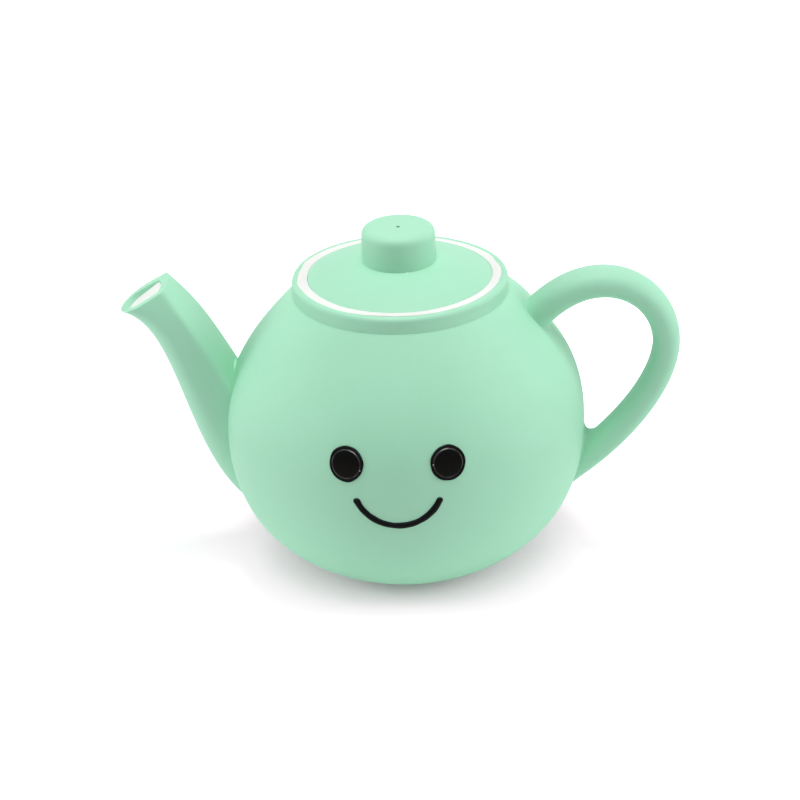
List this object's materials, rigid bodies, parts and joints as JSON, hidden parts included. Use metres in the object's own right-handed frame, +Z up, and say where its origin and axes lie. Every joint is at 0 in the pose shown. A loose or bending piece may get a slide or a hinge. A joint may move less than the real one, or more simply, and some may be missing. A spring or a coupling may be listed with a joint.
{
  "type": "toy teapot",
  "caption": "Round soft-rubber toy teapot with a smiling face, a closed spout, a loop handle and a domed lid with a knob that lifts out of the neck.",
  "frame": {"origin": "centre of the flat foot, on the table and on the pot's axis", "axes": "+Z up, +X towards the handle, -X towards the spout, -Y towards the face"},
  "size_m": [0.152, 0.0988, 0.098],
  "materials": {
    "mint_rubber": "matte",
    "white_rubber": "matte",
    "black_gloss": "gloss"
  },
  "bodies": {
    "pot": {"pot_shell": "mint_rubber", "neck_collar": "mint_rubber", "seal_ring": "white_rubber", "spout": "mint_rubber", "spout_plug": "white_rubber", "handle": "mint_rubber", "left_eye": "black_gloss", "right_eye": "black_gloss", "smile": "black_gloss"},
    "lid": {"lid_dome": "mint_rubber", "lid_knob": "mint_rubber"}
  },
  "joints": [
    {"name": "lid_lift", "type": "slide", "parent": "pot", "child": "lid", "axis": [0, 0, 1], "range_m": [0, 0.04]}
  ]
}
